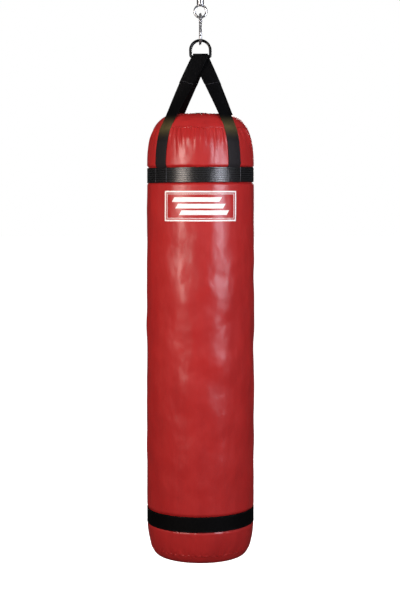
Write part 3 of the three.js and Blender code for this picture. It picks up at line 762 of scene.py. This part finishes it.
def make_strap(name, node, about, doubled):
    azimuths = STRAP_AZIMUTHS[:2]
    left, over, right = strap_rows(azimuths)
    rows = left + over + right
    spin = Quaternion((0, 0, 1), about)
    lift = (WEB + 0.4 * MM) if doubled else 0.0
    stations = np.linspace(-1, 1, 25)
    rings, lengths = [], [0.0]
    frames = []
    for i, (centre, angle, wrap, radius) in enumerate(rows):
        before, after = rows[max(i - 1, 0)][0], rows[min(i + 1, len(rows) - 1)][0]
        along = (after - before).normalized()
        across = Vector((math.cos(angle), math.sin(angle), 0))
        skew = math.sqrt(max(0.05, 1 - across.dot(along) ** 2))
        half = min(WEB_WIDTH / 2 / skew, 26.2 * MM if angle == 0 else WEB_WIDTH)
        normal = across.cross(along).normalized()
        frames.append((centre, across, along, normal, half))
        if i:
            lengths.append(lengths[-1] + (centre - rows[i - 1][0]).length)
        inward = -Vector(turned(1, angle, 0))
        ring = []
        for side, order in ((1, stations), (-1, stations[::-1])):
            for v in order:
                thin = WEB / 2 * (1 - 0.45 * max(0.0, abs(v) - 0.94) / 0.06)
                ring.append(centre + across * (v * half) + inward * (wrap * (v * half) ** 2 / (2 * radius))
                            + normal * (lift + side * thin))
        rings.append(ring)
    middle = (lengths[len(left)] + lengths[len(left) + len(over) - 1]) / 2
    kept = [i for i in range(len(rows)) if not doubled or abs(lengths[i] - middle) < PLY_REACH]
    count = len(rings[0])
    vertices = [spin @ p for i in kept for p in rings[i]]
    uv = [(lengths[i], v * WEB_WIDTH / 2) for i in kept for v in [*stations, *stations[::-1]]]
    faces = grid_faces(len(kept), count, False, True)
    half_count = count // 2
    for base in (0, (len(kept) - 1) * count):
        for i in range(half_count - 1):
            faces.append((base + i, base + i + 1, base + count - 2 - i, base + count - 1 - i))
    strap = outward(new_object(name, vertices, faces, WEBBING, uv))
    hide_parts(node)
    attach(strap, "bag")
    shade(strap, 50)
    if not doubled:
        return
    for target in (middle - PLY_STITCH, middle + PLY_STITCH):
        i = int(np.argmin(np.abs(np.array(lengths) - target)))
        centre, across, along, normal, half = frames[i]
        square = normal.cross(along).normalized() * (1 if normal.cross(along).dot(across) > 0 else -1)
        for side in (1, -1):
            face = lift + WEB / 2 if side > 0 else -WEB / 2
            ends = [centre + square * (s * (WEB_WIDTH / 2 - 1.5 * MM)) + normal * (face + side * 0.1 * MM)
                    for s in (-1, 1)]
            points = [spin @ ends[0].lerp(ends[1], t) for t in np.linspace(0, 1, 9)]
            stitch_row("dim", points, [spin @ (normal * side)] * 9, 4.2 * MM, 0.62 * MM)


def make_band_joins():
    """Light-grey stitch lines down the band along the inner edge of each strap; their light tone is partly a
    painted highlight for the band's step over the strap edge.
    """
    for azimuth in STRAP_AZIMUTHS:
        for side in (-1, 1):
            angle = azimuth + side * (WEB_WIDTH / 2 + 1 * MM) / BODY_R
            points = [turned(BODY_R, angle, z + BAND_TILT * math.sin(angle))
                      for z in np.linspace(UPPER_BAND[0].z + 1.5 * MM, UPPER_BAND[1].z - 1.5 * MM, 9)]
            stitch_row("grey", points, [turned(1, angle, 0)] * 9, 4.2 * MM, 0.6 * MM)


# ---------------------------------------------------------------- hardware
def finish_metal(obj, node, body):
    shade(obj)
    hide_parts(node)
    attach(obj, body)
    return obj


def make_swivel():
    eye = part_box("swivel_top_eye")
    outer = eye[1].x
    middle = outer - EYE_WIRE
    centre = eye[1].z - outer
    ring = [(math.sin(a) * middle, 0, centre + math.cos(a) * middle) for a in circle(96)]
    body = tube("swivel_eye_upper", ring, EYE_WIRE, CHROME, 28, closed=True)
    low, neck = eye[0].z, centre - outer + 6 * MM
    top, bottom = BARREL[1].z, BARREL[0].z
    profile = rounded([(0, low), (4 * MM, low), (4 * MM, top + 0.6 * MM), (8 * MM, top + 0.6 * MM),
                       (8 * MM, top + 3.2 * MM), (5.4 * MM, neck), (0, neck)], 0.7 * MM)
    boolean(body, revolve("shank", profile, CHROME, 64), "UNION")
    finish_metal(body, "swivel_top_eye", "hanger")

    r = BARREL[1].x
    outline = [(4.7 * MM, top), (10.6 * MM, top), (r, top - 2 * MM)]
    for z in (top - 6 * MM, bottom + 7 * MM):
        outline += [(r, z + 0.9 * MM), (r - 0.7 * MM, z), (r, z - 0.9 * MM)]
    outline += [(r, bottom + 0.9 * MM), (r - 0.9 * MM, bottom), (10.3 * MM, bottom),
                (10.3 * MM, top - 4 * MM), (4.7 * MM, top - 4 * MM), (4.7 * MM, top - 0.4 * MM)]
    barrel = revolve("swivel_barrel_turned", rounded(outline, 0.35 * MM, 3), CHROME, 72)
    finish_metal(barrel, "swivel_barrel", "swivel")

    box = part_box("swivel_lower_eye")
    wide = box[1].x - EYE_WIRE
    low = box[0].z + EYE_WIRE
    tall = 20.25 * MM
    oval = [(wide * math.sin(a), 0, low + tall + tall * math.cos(a)) for a in circle(96)]
    lower = tube("swivel_eye_lower", oval, EYE_WIRE, CHROME, 28, closed=True)
    top = box[1].z
    plug = rounded([(0, bottom - 4.5 * MM), (5.5 * MM, bottom - 4.5 * MM), (10.2 * MM, bottom - 1.3 * MM),
                    (11.8 * MM, bottom - 1.2 * MM), (11.8 * MM, bottom - 0.4 * MM),
                    (9.8 * MM, bottom - 0.4 * MM), (9.8 * MM, top), (0, top)], 0.5 * MM)
    boolean(lower, revolve("plug", plug, CHROME, 64), "UNION")
    finish_metal(lower, "swivel_lower_eye", "swivel")


def hook_side(t):
    """A point on the snap hook's gate side, from 0 at its upper bend to 1 at its lower bend."""
    y = -HOOK_TOP[0] + (HOOK_TOP[0] - HOOK_LOW[0]) * t
    return Vector((0, y, HOOK_TOP[1] + (HOOK_LOW[2] - HOOK_TOP[1]) * t))


def make_snap_hook():
    pivot, nose = hook_side(0.15), hook_side(0.92)
    path = [pivot.lerp(hook_side(0), i / 6) for i in range(6)]
    path += [Vector((0, HOOK_TOP[0] * math.cos(a), HOOK_TOP[1] + HOOK_TOP[0] * math.sin(a)))
             for a in (math.pi - math.pi * i / 28 for i in range(29))]
    back_top, back_low = Vector((0, HOOK_TOP[0], HOOK_TOP[1])), Vector((0, HOOK_LOW[0], HOOK_LOW[2]))
    path += [back_top.lerp(back_low, i / 14) for i in range(1, 14)]
    path += [Vector((0, HOOK_LOW[0] * math.cos(a), HOOK_LOW[2] + HOOK_LOW[1] * math.sin(a)))
             for a in (-math.pi * i / 36 for i in range(37))]
    path += [hook_side(1).lerp(nose, i / 3) for i in range(1, 4)]
    body = tube("snap_hook_body", path, HOOK_WIRE, CHROME, 32)
    low, high = 2 * MM, 9 * MM
    boolean(body, rod_x("cut_a", 5.8 * MM, low, high, pivot.y, pivot.z), "DIFFERENCE")
    boolean(body, rod_x("cut_b", 5.8 * MM, -high, -low, pivot.y, pivot.z), "DIFFERENCE")
    boolean(body, rod_x("tab", 4.5 * MM, -low, low, pivot.y, pivot.z), "UNION")
    finish_metal(body, "carabiner_body", "carabiner")

    along = (nose - pivot).normalized()
    length = (nose - pivot).length - 2.9 * MM
    gate = tube("snap_hook_gate", [pivot + along * length * i / 8 for i in range(9)], 4.8 * MM, CHROME, 32)
    boolean(gate, rod_x("fork", 6.2 * MM, -2.4 * MM, 2.4 * MM, pivot.y, pivot.z), "DIFFERENCE")
    finish_metal(gate, "carabiner_gate", "gate")

    head = rounded(in_mm((0, -6.4), (2.9, -6.4), (2.9, -5.1), (1.7, -5.1),
                         (1.7, 5.1), (2.9, 5.1), (2.9, 6.4), (0, 6.4)), 0.5 * MM)
    rivet = revolve("gate_rivet_turned", head, CHROME, 32)
    for v in rivet.data.vertices:
        v.co = Vector((v.co.z, v.co.x + pivot.y, v.co.y + pivot.z))
    finish_metal(outward(rivet), "gate_rivet", "carabiner")


def make_ring(node, body, about, roll):
    """A D-ring on its bar, leaning at its top towards the other ring."""
    half, height, corner = 32.9 * MM, 54.5 * MM, 5 * MM
    top = height - half
    points = []
    for i in range(9):
        a = -math.pi / 2 + math.pi / 2 * i / 8
        points.append((half - corner + corner * math.cos(a), corner + corner * math.sin(a)))
    points += [(half, corner + (top - corner) * i / 5) for i in range(1, 5)]
    points += [(half * math.cos(a), top + half * math.sin(a)) for a in (math.pi * i / 56 for i in range(57))]
    points += [(-half, top + (corner - top) * i / 5) for i in range(1, 5)]
    for i in range(9):
        a = math.pi + math.pi / 2 * i / 8
        points.append((-half + corner + corner * math.cos(a), corner + corner * math.sin(a)))
    span = half - corner
    points += [(-span + 2 * span * i / 16, 0) for i in range(1, 16)]
    lean = math.radians(7)
    path = []
    for x, z in points:
        x, z = x * math.cos(roll) - z * math.sin(roll), x * math.sin(roll) + z * math.cos(roll)
        y, z = z * math.sin(lean) - RING_BAR_Y, z * math.cos(lean) + RING_BAR_Z
        path.append((x * math.cos(about) - y * math.sin(about), x * math.sin(about) + y * math.cos(about), z))
    ring = tube(f"{node}_forged", path, RING_WIRE_R, BLACK_STEEL, 28, closed=True)
    finish_metal(ring, node, body)


def make_eyelets():
    profile = rounded(in_mm((4.8, -2.2), (7.6, -2), (7.6, -1.7), (5.7, -1.5), (5.7, 1.9), (7.8, 2.0),
                            (7.4, 2.5), (5.4, 3.0), (4.8, 2.2)), 0.3 * MM)
    for i in range(1, 13):
        node = f"eyelet_{i}"
        lo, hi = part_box(node)
        at = ((lo.x + hi.x) / 2, (lo.y + hi.y) / 2, (lo.z + hi.z) / 2)
        finish_metal(revolve(f"{node}_rolled", profile, CHROME, 40, at), node, "bag")


def make_drawstring():
    """A braided cord woven through the eyelets and tied in a bow at the back."""
    reach, rise, steep = 84 * MM, 4.8 * MM, 6
    steps = 12 * 24
    deck = BAG_TOP - 1.1 * MM + 0.3 * MM
    free = math.radians(4)
    path = []
    for i in range(steps + 1):
        a = math.pi / 2 + free + (2 * math.pi - 2 * free) * i / steps
        wave = math.tanh(steep * math.cos(6 * (a - math.pi / 2))) / math.tanh(steep)
        path.append((reach * math.cos(a), reach * math.sin(a), deck + rise * wave))
    cord = tube("woven_drawstring", path, 1.75 * MM, CORD, 12)
    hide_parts("drawstring")
    knot_path = []
    for a in circle(48):
        knot_path.append(((math.sin(a) + 2 * math.sin(2 * a)) * 1.5 * MM,
                          reach + (math.cos(a) - 2 * math.cos(2 * a)) * 1.1 * MM,
                          deck + rise + 0.6 * MM - math.sin(3 * a) * 1.1 * MM))
    knot = tube("drawstring_bow", knot_path, 1.5 * MM, CORD, 12, closed=True)
    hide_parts("drawstring_knot")
    for piece in (cord, knot):
        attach(piece, "bag")


# ---------------------------------------------------------------- print
def make_print(shell):
    """A plain generic badge of stripes in an outline, no lettering, laid on the vinyl's own surface."""
    z0 = UPPER_Z - 101 * MM
    graph = bpy.context.evaluated_depsgraph_get()
    tree = BVHTree.FromObject(shell, graph)
    vertices, faces = [], []

    def lay(x, z, lift):
        out = Vector(turned(1, x / BODY_R, 0))
        hit = tree.ray_cast(out * 0.3 + Vector((0, 0, z0 + z)), -out)[0]
        return hit + out * lift

    def patch(rows):
        """A grid of (x, z) rows as one thin closed body."""
        height, width, base = len(rows), len(rows[0]), len(vertices)
        for lift in (0.35 * MM, -0.25 * MM):
            vertices.extend(lay(x, z, lift) for row in rows for x, z in row)
        under = base + height * width
        for j in range(height - 1):
            for i in range(width - 1):
                a, b, c, d = j * width + i, j * width + i + 1, (j + 1) * width + i + 1, (j + 1) * width + i
                faces.append((base + a, base + b, base + c, base + d))
                faces.append((under + d, under + c, under + b, under + a))
        edge = list(range(width)) + [j * width + width - 1 for j in range(1, height)]
        edge += [(height - 1) * width + i for i in range(width - 2, -1, -1)]
        edge += [j * width for j in range(height - 2, 0, -1)]
        for a, b in zip(edge, edge[1:] + edge[:1]):
            faces.append((base + b, base + a, under + a, under + b))

    def bar(left, right, z, tall, slant):
        columns, levels = 70, 4
        up = [j / levels - 0.5 for j in range(levels + 1)]
        patch([[(left + (right - left) * i / columns + slant * u, z + tall * u) for i in range(columns + 1)]
               for u in up])

    def outline(width, height, stroke):
        x, z = width / 2, height / 2
        for sign in (-1, 1):
            bar(-x, x, sign * (z - stroke / 2), stroke, 0)
            side = sign * (x - stroke / 2)
            levels = 30
            patch([[(side - stroke / 2 + stroke * i / 3, -z + stroke + (height - 2 * stroke) * j / levels)
                    for i in range(4)] for j in range(levels + 1)])

    outline(250 * MM, 98 * MM, 5 * MM)
    outline(232 * MM, 80 * MM, 1.6 * MM)
    for left, right, z in ((-92, 66, 21), (-79, 79, 0), (-66, 92, -21)):
        bar(left * MM, right * MM, z * MM, 15 * MM, 9 * MM)
    badge = outward(new_object("plain_print", vertices, faces, PRINT))
    shade(badge, 30)
    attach(badge, "bag")


# ---------------------------------------------------------------- studio
def make_studio():
    scene = bpy.context.scene
    scene.view_settings.view_transform = "Standard"
    camera = bpy.data.cameras.new("camera")
    camera.lens = CAMERA_LENS
    camera.shift_y = CAMERA_SHIFT
    view = bpy.data.objects.new("camera", camera)
    view.location = CAMERA_AT
    view.rotation_euler = (CAMERA_PITCH, 0, 0)
    scene.collection.objects.link(view)
    scene.camera = view

    floor_mesh = bpy.data.meshes.new("floor")
    ring = [(math.cos(a) * 40, math.sin(a) * 40, FLOOR_Z) for a in circle(64)]
    floor_mesh.from_pydata(ring, [], [tuple(range(64))])
    floor = bpy.data.objects.new("floor", floor_mesh)
    scene.collection.objects.link(floor)
    pale = Nodes("pale_floor")
    pale.set(Base_Color=(0.8, 0.8, 0.8, 1), Roughness=0.9,
             Emission_Color=(1, 1, 1, 1), Emission_Strength=0.86)
    floor_mesh.materials.append(pale.material)
    floor.visible_glossy = False
    floor.visible_diffuse = False

    world = bpy.data.worlds.new("studio")
    scene.world = world
    world.use_nodes = True
    tree = world.node_tree
    tree.nodes.clear()
    make = tree.nodes.new
    out, mix = make("ShaderNodeOutputWorld"), make("ShaderNodeMixShader")
    seen, spread, mirrored = (make("ShaderNodeBackground") for _ in range(3))
    rays, where = make("ShaderNodeLightPath"), make("ShaderNodeTexCoord")
    split, glossy = make("ShaderNodeSeparateXYZ"), make("ShaderNodeMixShader")
    seen.inputs["Color"].default_value = (1, 1, 1, 1)
    tree.links.new(where.outputs["Generated"], split.inputs[0])
    for background, axis, values in ((spread, "Z", (-1.0, 0.1, 0.10, 0.52)),
                                     (mirrored, "Y", (-1.0, 0.6, 0.12, 0.03))):
        ramp = make("ShaderNodeMapRange")
        tree.links.new(split.outputs[axis], ramp.inputs["Value"])
        for key, value in zip(("From Min", "From Max", "To Min", "To Max"), values):
            ramp.inputs[key].default_value = value
        tree.links.new(ramp.outputs["Result"], background.inputs["Strength"])
    for ray, node, other, chosen in (("Is Glossy Ray", glossy, spread, mirrored),
                                     ("Is Camera Ray", mix, glossy, seen)):
        tree.links.new(rays.outputs[ray], node.inputs["Fac"])
        tree.links.new(other.outputs[0], node.inputs[1])
        tree.links.new(chosen.outputs[0], node.inputs[2])
    tree.links.new(mix.outputs[0], out.inputs["Surface"])

    def softbox(name, azimuth, distance, z, width, height, power, colour):
        light = bpy.data.lights.new(name, "AREA")
        light.shape, light.size, light.size_y = "RECTANGLE", width, height
        light.energy, light.color = power, colour
        obj = bpy.data.objects.new(name, light)
        obj.location = turned(distance, math.radians(azimuth), z)
        obj.rotation_euler = (Vector((0, 0, z)) - obj.location).to_track_quat("-Z", "Y").to_euler()
        scene.collection.objects.link(obj)
        return obj

    softbox("softbox_left", -38, 2.3, -0.3, 0.5, 1.5, 31, (1.0, 0.88, 0.8))
    softbox("softbox_right", 42, 2.3, -0.34, 0.5, 1.6, 34, (0.86, 0.88, 1.0))
    softbox("fill_front", 0, 5.4, -0.3, 3.0, 2.0, 36, (1, 1, 1)).visible_glossy = False
    softbox("fill_back", 180, 4.5, -0.4, 3.0, 2.0, 70, (1, 1, 1)).visible_glossy = False
    softbox("softbox_back", 172, 2.6, -0.3, 0.5, 1.5, 16, (1, 0.98, 0.95))
    softbox("fill_left", -85, 3.0, -0.9, 1.0, 2.0, 11, (1.0, 0.72, 0.5)).visible_glossy = False


def dress_frame():
    """Materials for the CAD nodes that stay."""
    polished = ["gate_spring", "swivel_nut", "bearing_upper_race", "bearing_lower_race"]
    polished += [f"bearing_ball_{i}" for i in range(1, 9)]
    looks = {"bearing_cage": BRASS, "liner": CANVAS, "filling": RAG, **dict.fromkeys(polished, CHROME)}
    for node, material in looks.items():
        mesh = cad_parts[node].data
        mesh.materials.clear()
        mesh.materials.append(material)


make_studio()
vinyl_shell = make_shell()
make_collar()
make_flap()
make_base()
make_band("upper_webbing_band", "upper_band", UPPER_Z, 7, BAND_WEB)
make_band("lower_webbing_band", "lower_band", LOWER_Z, 0, LOW_WEB)
for side, about in (("front", 0.0), ("rear", math.pi)):
    make_strap(f"{side}_webbing_strap", f"{side}_strap", about, False)
    make_strap(f"{side}_webbing_ply", f"{side}_strap_doubling", about, True)
make_band_joins()
make_stitches()
make_swivel()
make_snap_hook()
make_ring("front_d_ring", "front_ring", 0.0, math.radians(2))
make_ring("rear_d_ring", "rear_ring", math.pi, math.radians(1))
make_eyelets()
make_drawstring()
make_print(vinyl_shell)
dress_frame()
